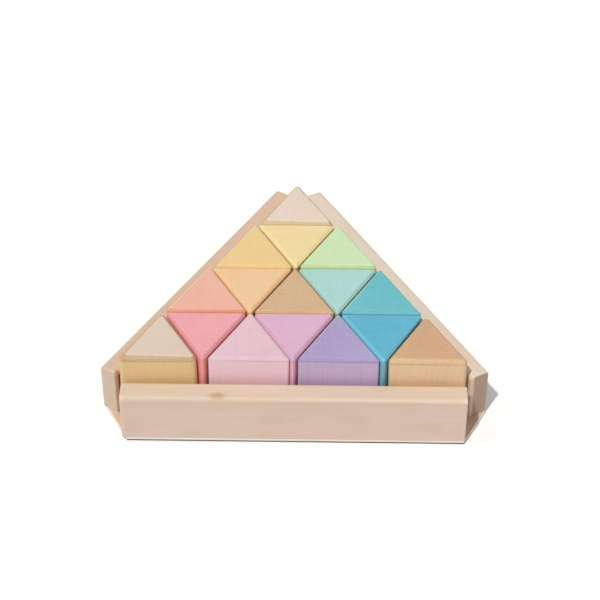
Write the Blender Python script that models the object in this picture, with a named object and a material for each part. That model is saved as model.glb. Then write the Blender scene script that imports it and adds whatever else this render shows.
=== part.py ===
"""Triangular wooden tray of loose triangular blocks, in metres, +Z up.

The tray lies with its front rail towards -Y. The origin is the middle of the tray, on the
underside of its board. The blocks stand on their triangular ends in rows, one block at the back
and two more in each row towards the front. Every second block of a row is turned half round, so
that it fills the space between its neighbours. The blocks lie loose: each one lifts straight up.
"""

import math
from collections import namedtuple

import bmesh
import bpy
from mathutils import Matrix, Vector

# Blocks
BLOCK_SIDE = 0.0621  # side of the triangle, measured to its sharp corners
BLOCK_HEIGHT = 0.060
CRISP_EDGE = 0.0018  # rounding of a block with crisp edges
SOFT_EDGE = 0.0033  # rounding of a block whose edges are sanded off
BLOCK_BEVEL = 0.0010  # bevel round the ends, inside the rounding
BLOCK_GAP = 0.0006  # space between two neighbours of a row before they are moved about
ROW_GAP = 0.00135  # space between two rows before their blocks are moved about
LOOSENESS = 0.001  # how far a block may stand off its place

# Room round the blocks
FRONT_CLEARANCE = 0.0042  # front row to the front rail
SIDE_CLEARANCE = 0.0031  # end blocks of the front row to the side rails
LEFT_LEAN = 0.24  # share of the side clearance by which the blocks stand left of the middle
SEAT_GAP = 0.0003  # left between two pieces that rest on each other

# Tray
BOARD_THICKNESS = 0.003
BOARD_EDGE_RADIUS = 0.0006
BOARD_SHORTER = 0.0020  # each edge of the board ends this far short of the end of a rail like the front one
BOARD_SLIDE = 0.0013  # the board lies this far to the right of the rails' middle
FRONT_RAIL_THICKNESS = 0.018
SIDE_RAIL_THICKNESS = 0.0155
RAIL_HEIGHT = 0.0402
RAIL_EDGE_RADIUS = 0.0034  # along the top
RAIL_END_RADIUS = 0.0012  # round the ends, while the edges at the foot are sharp
FRONT_CORNER_CUT = 0.0079  # the front rail stops this far short of where its inner face meets the next one's
SIDE_CORNER_CUT = 0.0096  # and the side rails, at both their ends

# Screws that hold the rails, driven up through the board
SCREW_LENGTH = 0.025
SCREW_SHANK_RADIUS = 0.00175
SCREW_HEAD_RADIUS = 0.0032
SCREW_HEAD_RIM = 0.0004  # straight edge of the head below its cone
SCREW_POINT = 0.004  # length of the tapered end
SCREW_SINK = 0.0005  # head below the underside of the board
SCREW_FROM_END = 0.045  # screw to the end of its rail
SCREW_CLEARANCE = 0.0003  # round the screw in its hole
RECESS_ARM = 0.0021  # cross recess in the head, centre to the end of an arm
RECESS_WIDTH = 0.0009
RECESS_DEPTH = 0.0013

# Fineness of the round shapes
BALL_SEGMENTS = 12  # round a rounded corner, a multiple of 12 so that flat faces stay exact
BALL_RINGS = 8  # a multiple of 4, so that the bevels stay exact
ARC_STEPS = BALL_RINGS // 2  # in a quarter turn of a rail's long edges
SCREW_SEGMENTS = 16
SMOOTH_ANGLE = math.radians(40.0)
MERGE_DISTANCE = 1e-6

# Each block has a colour (red, green and blue of 255) and its small misplacement in the tray, by
# hand: to the right, to the back and anticlockwise, each as a share of the looseness. Then comes the
# rounding of its edges.
Block = namedtuple("Block", "name colour right back turn edge")
BLOCK_ROWS = (
    (
        Block("block_natural_apex", (228, 211, 194), 0.2, 0.1, 0.0, SOFT_EDGE),
    ),
    (
        Block("block_golden_yellow", (235, 204, 144), 0.6, -0.7, 0.1, CRISP_EDGE),
        Block("block_pale_yellow", (238, 217, 162), 0.4, 0.5, 0.0, CRISP_EDGE),
        Block("block_light_green", (204, 226, 180), 0.7, 0.2, -0.1, CRISP_EDGE),
    ),
    (
        Block("block_salmon", (236, 183, 161), -0.7, -0.2, 0.1, CRISP_EDGE),
        Block("block_light_orange", (237, 199, 154), -0.5, -0.2, 0.1, CRISP_EDGE),
        Block("block_natural_centre", (211, 177, 140), 0.1, -0.5, -0.1, CRISP_EDGE),
        Block("block_mint", (173, 213, 205), -0.1, 0.0, 0.0, CRISP_EDGE),
        Block("block_teal", (110, 190, 197), 0.1, -0.4, -0.1, CRISP_EDGE),
    ),
    (
        Block("block_natural_left", (221, 203, 185), -1.0, -0.2, 0.1, SOFT_EDGE),
        Block("block_coral", (237, 168, 173), -0.8, 0.4, -0.1, CRISP_EDGE),
        Block("block_light_pink", (227, 194, 203), 0.0, 0.2, 0.0, CRISP_EDGE),
        Block("block_mauve", (221, 177, 202), -0.2, 0.2, 0.0, CRISP_EDGE),
        Block("block_purple", (174, 160, 198), 0.4, -0.1, -0.1, CRISP_EDGE),
        Block("block_blue", (100, 181, 206), 0.5, 0.1, 0.1, CRISP_EDGE),
        Block("block_natural_right", (209, 170, 131), 0.8, -0.3, -0.1, SOFT_EDGE),
    ),
)

# Each rail has its turn about the middle of the tray, how far it stands along itself off its middle, how far
# it stops short of its corners, and its thickness.
Rail = namedtuple("Rail", "turn slide corner_cut thickness")
RAILS = {
    "front_rail": Rail(0.0, 0.0, FRONT_CORNER_CUT, FRONT_RAIL_THICKNESS),
    "right_rail": Rail(math.radians(120.0), -0.0013, SIDE_CORNER_CUT, SIDE_RAIL_THICKNESS),
    "left_rail": Rail(math.radians(-120.0), 0.0005, SIDE_CORNER_CUT, SIDE_RAIL_THICKNESS),
}

# Colours of the tray, red, green and blue of 255, and how rough each surface is
RAIL_COLOUR = (222, 198, 176)
BOARD_COLOUR = (215, 198, 181)
STEEL_COLOUR = (190, 190, 192)
WOOD_ROUGHNESS = 0.6
BLOCK_ROUGHNESS = 0.55
STEEL_ROUGHNESS = 0.35

# Places that follow from the sizes
ROOT3 = math.sqrt(3.0)
BLOCK_FLAT_REACH = BLOCK_SIDE / (2 * ROOT3)  # centre to a flat side
BLOCK_DEPTH = BLOCK_SIDE * ROOT3 / 2 - CRISP_EDGE  # flat side to the rounded corner opposite
COLUMN_PITCH = BLOCK_SIDE + (2 * CRISP_EDGE + 4 * BLOCK_GAP) / ROOT3  # between two unturned blocks
ROW_PITCH = BLOCK_DEPTH + ROW_GAP
FRONT_ROW_REACH = (len(BLOCK_ROWS) - 1) * COLUMN_PITCH / (2 * ROOT3) + BLOCK_FLAT_REACH
RAIL_INNER_REACH = FRONT_ROW_REACH + (FRONT_CLEARANCE + 2 * SIDE_CLEARANCE) / 3  # centre to a rail
SEAT_HEIGHT = BOARD_THICKNESS + SEAT_GAP  # rails and blocks stand here


def clear_scene():
    for old in list(bpy.data.objects):
        bpy.data.objects.remove(old, do_unlink=True)


def linear(colour):
    """Red, green and blue of 255 as the linear values that a shader takes, with full alpha."""
    parts = [part / 255 for part in colour]
    return [((part + 0.055) / 1.055) ** 2.4 for part in parts] + [1.0]


def make_material(name, colour, roughness, metallic=0.0):
    material = bpy.data.materials.new(name)
    material.use_nodes = True
    shader = material.node_tree.nodes["Principled BSDF"]
    shader.inputs["Base Color"].default_value = linear(colour)
    shader.inputs["Roughness"].default_value = roughness
    shader.inputs["Metallic"].default_value = metallic
    return material


def finished_mesh(name, shape):
    """Mesh made from an edited shape, faces outwards, smooth where it is rounded."""
    bmesh.ops.recalc_face_normals(shape, faces=shape.faces)
    mesh = bpy.data.meshes.new(name)
    shape.to_mesh(mesh)
    shape.free()
    mesh.shade_smooth()
    mesh.set_sharp_from_angle(angle=SMOOTH_ANGLE)
    mesh.materials.append(None)
    return mesh


def add_object(name, mesh, material, tray, location=(0.0, 0.0, 0.0), turn=0.0):
    """Object with its own material, also where it shares its mesh, standing on the tray's frame."""
    piece = bpy.data.objects.new(name, mesh)
    piece.material_slots[0].link = "OBJECT"
    piece.material_slots[0].material = material
    piece.parent = tray
    piece.location = location
    piece.rotation_euler.z = turn
    bpy.context.scene.collection.objects.link(piece)
    return piece


def add_cutter(name, mesh):
    cutter = bpy.data.objects.new(name, mesh)
    cutter.hide_render = True
    cutter.display_type = "WIRE"
    bpy.context.scene.collection.objects.link(cutter)
    return cutter


def cut(piece, cutter):
    boolean = piece.modifiers.new("cut", "BOOLEAN")
    boolean.operation = "DIFFERENCE"
    boolean.solver = "EXACT"
    boolean.object = cutter


def rounded_mesh(name, ball_centres, radius, disc_centres=()):
    """Solid with flat faces and rounded edges: the hull of equal balls, one in each corner.

    A level disc in a corner, in place of a ball, rounds the upright edge there and leaves the foot sharp.
    """
    shape = bmesh.new()
    for centre in ball_centres:
        bmesh.ops.create_uvsphere(shape, u_segments=BALL_SEGMENTS, v_segments=BALL_RINGS,
                                  radius=radius, matrix=Matrix.Translation(centre))
    for centre in disc_centres:
        bmesh.ops.create_circle(shape, segments=BALL_SEGMENTS, radius=radius,
                                matrix=Matrix.Translation(centre))
    bmesh.ops.delete(shape, geom=shape.edges[:], context="EDGES_FACES")
    hull = bmesh.ops.convex_hull(shape, input=shape.verts[:])
    inner = [part for part in hull["geom_interior"] if isinstance(part, bmesh.types.BMVert)]
    bmesh.ops.delete(shape, geom=inner, context="VERTS")
    return finished_mesh(name, shape)


def turned_mesh(name, profile):
    """Closed turned solid: its profile, (radius, height) pairs from foot to top, spun round +Z."""
    shape = bmesh.new()
    verts = [shape.verts.new((radius, 0.0, height)) for radius, height in profile]
    edges = [shape.edges.new(pair) for pair in zip(verts[:-1], verts[1:])]
    bmesh.ops.spin(shape, geom=verts + edges, cent=(0.0, 0.0, 0.0), axis=(0.0, 0.0, 1.0),
                   angle=math.tau, steps=SCREW_SEGMENTS, use_merge=True)
    bmesh.ops.remove_doubles(shape, verts=shape.verts[:], dist=MERGE_DISTANCE)
    return finished_mesh(name, shape)


def block_mesh(edge):
    """Equilateral prism with bevelled ends that stands on z = 0 with one corner towards +Y."""
    reach = BLOCK_SIDE / ROOT3 - 2 * edge
    centres = []
    for inset, from_end in ((2 * BLOCK_BEVEL, edge), (0.0, edge + BLOCK_BEVEL)):
        for corner in range(3):
            angle = math.pi / 2 + corner * math.tau / 3
            place = (reach - inset) * Vector((math.cos(angle), math.sin(angle), 0.0))
            centres.append(place + Vector((0.0, 0.0, from_end)))
            centres.append(place + Vector((0.0, 0.0, BLOCK_HEIGHT - from_end)))
    return rounded_mesh("block", centres, edge)


def rail_length(rail):
    return 2 * (ROOT3 * RAIL_INNER_REACH - rail.corner_cut)


def rail_mesh(rail):
    """Straight bar along X that stands on z = 0. Small balls round its ends, and at each end an arc of
    them gives a long edge of the top its larger rounding."""
    arc_radius = RAIL_EDGE_RADIUS - RAIL_END_RADIUS
    foot = []
    top = []
    for along in (-1, 1):
        x = along * (rail_length(rail) / 2 - RAIL_END_RADIUS)
        for across in (-1, 1):
            foot.append(Vector((x, across * (rail.thickness / 2 - RAIL_END_RADIUS), 0.0)))
            for step in range(ARC_STEPS + 1):
                angle = math.pi / 2 * step / ARC_STEPS
                y = across * (rail.thickness / 2 - RAIL_EDGE_RADIUS + arc_radius * math.cos(angle))
                z = RAIL_HEIGHT - RAIL_EDGE_RADIUS + arc_radius * math.sin(angle)
                top.append(Vector((x, y, z)))
    return rounded_mesh("rail", top, RAIL_END_RADIUS, disc_centres=foot)


def board_mesh():
    """Board under the rails, as wide as their outer faces: a triangle with its three points cut square."""
    middle = Vector((BOARD_SLIDE, 0.0, 0.0))
    end = rail_length(RAILS["front_rail"]) / 2 - BOARD_SHORTER - BOARD_EDGE_RADIUS / ROOT3
    centres = []
    for rail in RAILS.values():
        side = RAIL_INNER_REACH + rail.thickness - BOARD_EDGE_RADIUS
        for along in (-end, end):
            for height in (BOARD_EDGE_RADIUS, BOARD_THICKNESS - BOARD_EDGE_RADIUS):
                centres.append(middle + Matrix.Rotation(rail.turn, 3, "Z") @ Vector((along, -side, height)))
    return rounded_mesh("board", centres, BOARD_EDGE_RADIUS)


def rail_place(rail, along, height):
    """Point on a rail's middle line, a distance along it from its middle, at a height."""
    spot = Vector((rail.slide + along, -RAIL_INNER_REACH - rail.thickness / 2, height))
    return Matrix.Rotation(rail.turn, 3, "Z") @ spot


def screw_places():
    """Screw positions on the underside of the board, two to each rail, by the screw's name."""
    places = {}
    for name, rail in RAILS.items():
        for number, end in enumerate((-1, 1), start=1):
            along = end * (rail_length(rail) / 2 - SCREW_FROM_END)
            places[f"{name}_screw_{number}"] = rail_place(rail, along, 0.0)
    return places


def screw_profile():
    """Countersunk head at the foot, shank, and a point at the top."""
    rim_top = SCREW_SINK + SCREW_HEAD_RIM
    cone_top = rim_top + SCREW_HEAD_RADIUS - SCREW_SHANK_RADIUS
    tip = SCREW_SINK + SCREW_LENGTH
    return [
        (0.0, SCREW_SINK),
        (SCREW_HEAD_RADIUS, SCREW_SINK),
        (SCREW_HEAD_RADIUS, rim_top),
        (SCREW_SHANK_RADIUS, cone_top),
        (SCREW_SHANK_RADIUS, tip - SCREW_POINT),
        (0.0, tip),
    ]


def screw_hole_profile():
    """The screw's own profile with its clearance all round, run out below the board."""
    head_radius = SCREW_HEAD_RADIUS + math.sqrt(2.0) * SCREW_CLEARANCE
    shank_radius = SCREW_SHANK_RADIUS + SCREW_CLEARANCE
    rim_top = SCREW_SINK + SCREW_HEAD_RIM
    cone_top = rim_top + head_radius - shank_radius
    top = SCREW_SINK + SCREW_LENGTH + SCREW_CLEARANCE
    return [
        (0.0, -BOARD_THICKNESS),
        (head_radius, -BOARD_THICKNESS),
        (head_radius, rim_top),
        (shank_radius, cone_top),
        (shank_radius, top),
        (0.0, top),
    ]


def recess_cutter():
    """Upright cross that cuts the driver's recess into a screw's head."""
    shape = bmesh.new()
    half = RECESS_WIDTH / 2
    outline = []
    for quarter in range(4):
        turn = Matrix.Rotation(quarter * math.pi / 2, 3, "Z")
        for x, y in ((RECESS_ARM, -half), (RECESS_ARM, half), (half, half)):
            outline.append(shape.verts.new(turn @ Vector((x, y, 0.0))))
    foot = shape.faces.new(outline)
    raised = bmesh.ops.extrude_face_region(shape, geom=[foot])
    top = [part for part in raised["geom"] if isinstance(part, bmesh.types.BMVert)]
    bmesh.ops.translate(shape, verts=top, vec=(0.0, 0.0, SCREW_SINK + RECESS_DEPTH))
    return add_cutter("recess_cutter", finished_mesh("recess_cutter", shape))


def screw_mesh():
    """One screw, recess cut, standing head down with z = 0 at the underside of the board."""
    plain = bpy.data.objects.new("plain_screw", turned_mesh("plain_screw", screw_profile()))
    bpy.context.scene.collection.objects.link(plain)
    cutter = recess_cutter()
    cut(plain, cutter)
    graph = bpy.context.evaluated_depsgraph_get()
    mesh = bpy.data.meshes.new_from_object(plain.evaluated_get(graph))
    mesh.name = "screw"
    bpy.data.objects.remove(plain)
    bpy.data.objects.remove(cutter)
    return mesh


def screw_hole_cutter():
    """All the screw holes as one cutter, which passes through the board into the rails."""
    hole = turned_mesh("screw_hole", screw_hole_profile())
    shape = bmesh.new()
    for place in screw_places().values():
        earlier = len(shape.verts)
        shape.from_mesh(hole)
        shape.verts.ensure_lookup_table()
        bmesh.ops.translate(shape, verts=shape.verts[earlier:], vec=place)
    return add_cutter("screw_hole_cutter", finished_mesh("screw_hole_cutter", shape))


def build_tray(tray):
    holes = screw_hole_cutter()
    board_wood = make_material("board_wood", BOARD_COLOUR, WOOD_ROUGHNESS)
    board = add_object("base_board", board_mesh(), board_wood, tray)
    cut(board, holes)
    rail_wood = make_material("rail_wood", RAIL_COLOUR, WOOD_ROUGHNESS)
    for name, rail in RAILS.items():
        place = rail_place(rail, 0.0, SEAT_HEIGHT)
        bar = add_object(name, rail_mesh(rail), rail_wood, tray, place, rail.turn)
        cut(bar, holes)


def build_screws(tray):
    steel = make_material("screw_steel", STEEL_COLOUR, STEEL_ROUGHNESS, metallic=1.0)
    mesh = screw_mesh()
    for name, place in screw_places().items():
        add_object(name, mesh, steel, tray, place)


def block_place(row, column, block):
    """Centre of a block's foot and its turn. Odd columns hold the blocks that are turned half round."""
    front = FRONT_CLEARANCE - RAIL_INNER_REACH + (len(BLOCK_ROWS) - 1 - row) * ROW_PITCH
    x = (column - row) * COLUMN_PITCH / 2 - LEFT_LEAN * SIDE_CLEARANCE
    y = front + BLOCK_FLAT_REACH
    turn = block.turn * LOOSENESS / (BLOCK_SIDE / 2)
    if column % 2:
        y = front + BLOCK_DEPTH - BLOCK_FLAT_REACH
        turn += math.pi
    return (x + block.right * LOOSENESS, y + block.back * LOOSENESS, SEAT_HEIGHT), turn


def build_blocks(tray):
    meshes = {edge: block_mesh(edge) for edge in (CRISP_EDGE, SOFT_EDGE)}
    for row, blocks in enumerate(BLOCK_ROWS):
        for column, block in enumerate(blocks):
            finish = make_material(block.name.replace("block_", "finish_"), block.colour, BLOCK_ROUGHNESS)
            place, turn = block_place(row, column, block)
            add_object(block.name, meshes[block.edge], finish, tray, place, turn)


def main():
    clear_scene()
    tray = bpy.data.objects.new("tray", None)
    bpy.context.scene.collection.objects.link(tray)
    build_tray(tray)
    build_screws(tray)
    build_blocks(tray)


main()
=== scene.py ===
"""Looks of a triangular tray of stained wooden blocks, laid out as an add-on and run as a script.

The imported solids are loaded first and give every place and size. One Geometry Nodes tree eases the
edges of the blocks and rails, and shared shader groups give the wood its rings, fibres and wear.
Lengths are metres, +Z is up, and the tray's front rail faces -Y.
"""

import math
from collections import namedtuple

import bpy
from mathutils import Euler, Matrix, Vector


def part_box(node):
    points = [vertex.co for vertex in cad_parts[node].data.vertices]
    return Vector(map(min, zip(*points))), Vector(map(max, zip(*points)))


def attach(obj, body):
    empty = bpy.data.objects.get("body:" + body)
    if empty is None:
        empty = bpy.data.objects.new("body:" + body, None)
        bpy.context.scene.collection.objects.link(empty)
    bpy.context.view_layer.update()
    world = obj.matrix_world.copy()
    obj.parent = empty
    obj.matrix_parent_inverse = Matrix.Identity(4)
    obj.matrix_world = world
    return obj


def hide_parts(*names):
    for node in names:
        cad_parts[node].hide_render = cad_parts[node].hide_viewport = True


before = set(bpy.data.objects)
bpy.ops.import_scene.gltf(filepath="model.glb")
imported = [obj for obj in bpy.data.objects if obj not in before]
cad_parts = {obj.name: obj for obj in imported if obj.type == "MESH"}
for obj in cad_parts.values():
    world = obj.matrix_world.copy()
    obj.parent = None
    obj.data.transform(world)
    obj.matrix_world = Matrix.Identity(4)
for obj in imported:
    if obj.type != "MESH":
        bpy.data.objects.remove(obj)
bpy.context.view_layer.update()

bl_info = {
    "name": "Triangular block tray",
    "version": (1, 0, 0),
    "blender": (4, 5, 0),
    "location": "View3D > Sidebar > Block tray",
    "description": "Dresses a triangular tray of wooden blocks in grain, stain and wear",
    "category": "Object",
}

# A block's finish: the colour of its ends, of the rounded rims round them and of its sides (red, green
# and blue of 255), where the middle of the tree lies from the block (degrees anticlockwise from +X, and
# metres), how far its rings lie apart (metres), and how strongly they show.
Finish = namedtuple("Finish", "ends rims sides pith_angle pith_distance ring_spacing ring_strength")
FINISHES = {
    "natural_apex": Finish((228, 211, 194), (207, 185, 141), (224, 196, 158), 195, 0.16, 0.0030, 0.08),
    "golden_yellow": Finish((235, 204, 144), (229, 197, 133), (232, 196, 132), 82, 0.12, 0.0042, 0.11),
    "pale_yellow": Finish((238, 217, 162), (238, 217, 156), (236, 210, 150), 10, 0.20, 0.0034, 0.08),
    "light_green": Finish((204, 226, 180), (192, 210, 155), (188, 216, 140), 175, 0.18, 0.0032, 0.09),
    "salmon": Finish((236, 183, 161), (223, 147, 115), (240, 170, 132), 186, 0.15, 0.0030, 0.09),
    "light_orange": Finish((237, 199, 154), (235, 193, 143), (238, 188, 132), 265, 0.20, 0.0036, 0.09),
    "natural_centre": Finish((211, 177, 140), (207, 170, 127), (208, 170, 122), 88, 0.11, 0.0026, 0.20),
    "mint": Finish((173, 213, 205), (167, 208, 196), (160, 208, 190), 5, 0.18, 0.0030, 0.10),
    "teal": Finish((110, 190, 197), (99, 178, 191), (102, 188, 202), 118, 0.10, 0.0030, 0.14),
    "natural_left": Finish((221, 203, 185), (198, 166, 129), (236, 204, 153), 174, 0.14, 0.0032, 0.09),
    "coral": Finish((237, 168, 173), (227, 150, 157), (246, 164, 162), 96, 0.18, 0.0034, 0.09),
    "light_pink": Finish((227, 194, 203), (221, 186, 194), (244, 210, 219), 182, 0.16, 0.0030, 0.09),
    "mauve": Finish((221, 177, 202), (211, 164, 190), (236, 183, 201), 250, 0.20, 0.0036, 0.09),
    "purple": Finish((174, 160, 198), (162, 145, 187), (205, 182, 213), 8, 0.17, 0.0034, 0.09),
    "blue": Finish((100, 181, 206), (108, 192, 215), (124, 189, 209), 112, 0.10, 0.0028, 0.14),
    "natural_right": Finish((209, 170, 131), (215, 181, 140), (238, 207, 170), 128, 0.09, 0.0030, 0.20),
}

# A rail's finish: the colour of its upright faces, of its top, of its ends, and the painted light on the
# upright edges
# of its ends that lie inside the tray: painted shade on the left rail, a painted highlight on the right rail.
RailFinish = namedtuple("RailFinish", "faces tops ends inner_edges")
RAIL_FINISHES = {
    "front_rail": RailFinish((231, 206, 189), (221, 199, 178), (222, 198, 176), (231, 206, 189)),
    # Left rail: its brown inner-edge colour is painted shade.
    "left_rail": RailFinish((226, 200, 176), (216, 187, 163), (222, 198, 177), (178, 132, 94)),
    # Right rail: its darker end colour is painted shade from the front rail, and its inner-edge colour is a
    # painted highlight.
    "right_rail": RailFinish((226, 202, 180), (224, 208, 191), (190, 160, 140), (234, 206, 182)),
}
RAILS = tuple(RAIL_FINISHES)
SCREWS = tuple(f"{rail}_screw_{number}" for rail in RAILS for number in (1, 2))
UNTURNED_BLOCK = "block_light_pink"  # its front face lies along X, so its edge can be read off
FLAT_TOLERANCE = 1e-5  # vertices this near a plane lie on it


def linear(colour):
    """Red, green and blue of 255 as the linear values that a shader takes."""
    return [((part / 255 + 0.055) / 1.055) ** 2.4 for part in colour]


def rgba(colour):
    return (*linear(colour), 1.0)


def shown(setting):
    """A colour setting as red, green and blue of 255."""
    return [255 * part for part in setting]


# Reading the solids


def node_points(node):
    return [vertex.co.copy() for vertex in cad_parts[node].data.vertices]


def edge_radius(node):
    """Rounding of a node's edges: its flat front ends this far below its top."""
    low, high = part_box(node)
    front = [point.z for point in node_points(node) if point.y - low.y < FLAT_TOLERANCE]
    return high.z - max(front)


def end_radius(node):
    """Rounding of a bar's ends: their flats stop this far below its top."""
    low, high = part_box(node)
    end = [point.z for point in node_points(node) if point.x - low.x < FLAT_TOLERANCE]
    return high.z - max(end)


def top_corners(node):
    """Corners of a node's flat top, anticlockwise round their middle, and that middle."""
    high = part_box(node)[1]
    found = []
    for point in node_points(node):
        on_top = high.z - point.z < FLAT_TOLERANCE
        if on_top and all((point - other).length > FLAT_TOLERANCE for other in found):
            found.append(point)
    middle = sum(found, Vector()) / len(found)
    found.sort(key=lambda point: math.atan2(point.y - middle.y, point.x - middle.x))
    return found, middle


RAIL_EDGE = edge_radius("front_rail")
BLOCK_LOW, BLOCK_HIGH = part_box(UNTURNED_BLOCK)
BLOCK_HEIGHT = BLOCK_HIGH.z - BLOCK_LOW.z
BLOCK_FLAT_REACH = top_corners(UNTURNED_BLOCK)[1].y - BLOCK_LOW.y
RAIL_LOW, RAIL_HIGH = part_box("front_rail")
RAIL_END = end_radius("front_rail")
RAIL_ARC_STEPS = 8  # in a quarter turn of a rail's long edges
KNOT_PLACE = Vector((-0.0555, RAIL_LOW.y + 0.0036, RAIL_HIGH.z))  # on the front rail's top, near its front
KNOT_SIZE = (0.0086, 0.0046, 0.0030)  # half its length, breadth and depth
BOARD_EDGE = edge_radius("base_board")
FOOT_SHADE_HEIGHT = 0.0014  # painted shade darkens the foot of the board's front edge this far up
FOOT_SHADE_FADE = 0.8  # share of that height at which the painted shade begins to fade
FOOT_SHADE_REACH = 0.018  # round its right corner, the painted shade has faded out this far behind the front


def block_edges(node):
    """Rounding of a block's edges, and the width of the whole rim round its ends, bevel included."""
    corners, middle = top_corners(node)
    farthest = max((point - middle).xy.length for point in node_points(node))
    rounding = 2 * BLOCK_FLAT_REACH - farthest
    rim = BLOCK_FLAT_REACH - (corners[0] - middle).length / 2
    return rounding, rim


# What a user would change


def length_property(name, description, default):
    return bpy.props.FloatProperty(
        name=name, description=description, default=default, min=0.0, precision=5,
        subtype="DISTANCE", unit="LENGTH")


def share_property(name, description, default, largest=1.0):
    return bpy.props.FloatProperty(
        name=name, description=description, default=default, min=0.0, max=largest, subtype="FACTOR")


def colour_property(name, description, default):
    return bpy.props.FloatVectorProperty(
        name=name, description=description, default=[part / 255 for part in default],
        min=0.0, max=1.0, size=3, subtype="COLOR_GAMMA")


def table_colours(table, place):
    """A colour for each entry of a table of finishes, from one of its columns."""
    colours = {}
    for name, finish in table.items():
        label = name.replace("_", " ").capitalize()
        note = "Colour of the " + place.replace("_", " ")
        colours[name] = colour_property(label, note, getattr(finish, place))
    return colours


class EndColours(bpy.types.PropertyGroup):
    """Colour of each block's triangular ends."""

    __annotations__ = table_colours(FINISHES, "ends")


class RimColours(bpy.types.PropertyGroup):
    """Colour of the rims round each block's ends."""

    __annotations__ = table_colours(FINISHES, "rims")


class SideColours(bpy.types.PropertyGroup):
    """Colour of each block's square sides."""

    __annotations__ = table_colours(FINISHES, "sides")


class RailFaceColours(bpy.types.PropertyGroup):
    """Colour of each rail's upright faces."""

    __annotations__ = table_colours(RAIL_FINISHES, "faces")


class RailTopColours(bpy.types.PropertyGroup):
    """Colour of each rail's top."""

    __annotations__ = table_colours(RAIL_FINISHES, "tops")


class RailEndColours(bpy.types.PropertyGroup):
    """Colour of each rail's end grain; the right rail's is darkened by painted shade."""

    __annotations__ = table_colours(RAIL_FINISHES, "ends")


class RailEdgeLightColours(bpy.types.PropertyGroup):
    """Painted light on the upright edges of each rail's ends, inside the tray: painted shade on the left
    rail, a painted highlight on the right.
    """

    __annotations__ = table_colours(RAIL_FINISHES, "inner_edges")


class BlockSettings(bpy.types.PropertyGroup):
    """Edges and wood of the blocks."""

    rounding: share_property("Rounding", "Mean rounding of the edges, as a share of the solid's", 1.0, 2.0)
    sanding: share_property("Sanding", "How unevenly the edges are sanded", 0.25)
    segments: bpy.props.IntProperty(
        name="Segments", description="Fineness of the rounded edges", default=32, min=12, max=96)
    wobble: length_property("Ring wobble", "How far the growth rings wander", 0.0022)
    wear: share_property("Wear", "How much paler the edges are", 0.12)


class TraySettings(bpy.types.PropertyGroup):
    """Edges and wood of the rails and the board."""

    rounding: share_property("Rounding", "Mean rounding of the edges, as a share of the solid's", 1.0, 2.0)
    sanding: share_property("Sanding", "How unevenly the edges are sanded", 0.15)
    segments: bpy.props.IntProperty(
        name="Segments", description="Fineness of the rounded edges", default=40, min=12, max=96)
    board_colour: colour_property("Board wood", "Colour of the board", (214, 189, 163))
    # Painted highlight: the board's upright edges are painted pale, near white.
    board_edge_highlight: colour_property("Board edges", "Colour of the board's edges", (248, 236, 224))
    patch_colour: colour_property("Patches", "Colour of the yellower patches in the wood", (222, 190, 148))
    knot_colour: colour_property("Knot", "Colour of the knot in the front rail", (160, 128, 88))
    # Painted shade: a dark line at the foot of the board's front edge and round its right corner, where shade
    # falls under the board.
    foot_shade_colour: colour_property("Soiled foot", "Colour of the foot of the board's front edge", (80, 68, 58))
    ring_spacing: length_property("Ring spacing", "Distance between growth rings", 0.0046)
    wear: share_property("Wear", "How much paler the edges are", 0.06)


class StageSettings(bpy.types.PropertyGroup):
    """Floor, light and camera."""

    lens: bpy.props.FloatProperty(
        name="Lens", description="Focal length", default=109.37, min=1.0, subtype="DISTANCE_CAMERA")
    distance: length_property("Distance", "Camera to the point that it looks at", 1.479)
    elevation: bpy.props.FloatProperty(
        name="Elevation", description="Camera above the floor", default=math.radians(40.864), subtype="ANGLE")
    azimuth: bpy.props.FloatProperty(
        name="Azimuth", description="Camera to the right of the front", default=math.radians(0.6245),
        subtype="ANGLE")
    roll: bpy.props.FloatProperty(
        name="Roll", description="Camera's turn about its own axis", default=math.radians(0.222),
        subtype="ANGLE")
    target: bpy.props.FloatVectorProperty(
        name="Target", description="Point that the camera looks at", default=(0.00271, 0.06564, 0.0),
        size=3, subtype="TRANSLATION", unit="LENGTH")
    sun: bpy.props.FloatProperty(
        name="Sun", description="Strength of the key light", default=2.1, min=0.0)
    fill: bpy.props.FloatProperty(
        name="Fill", description="Strength of the light from all round", default=0.45, min=0.0)


# Building node trees


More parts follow.
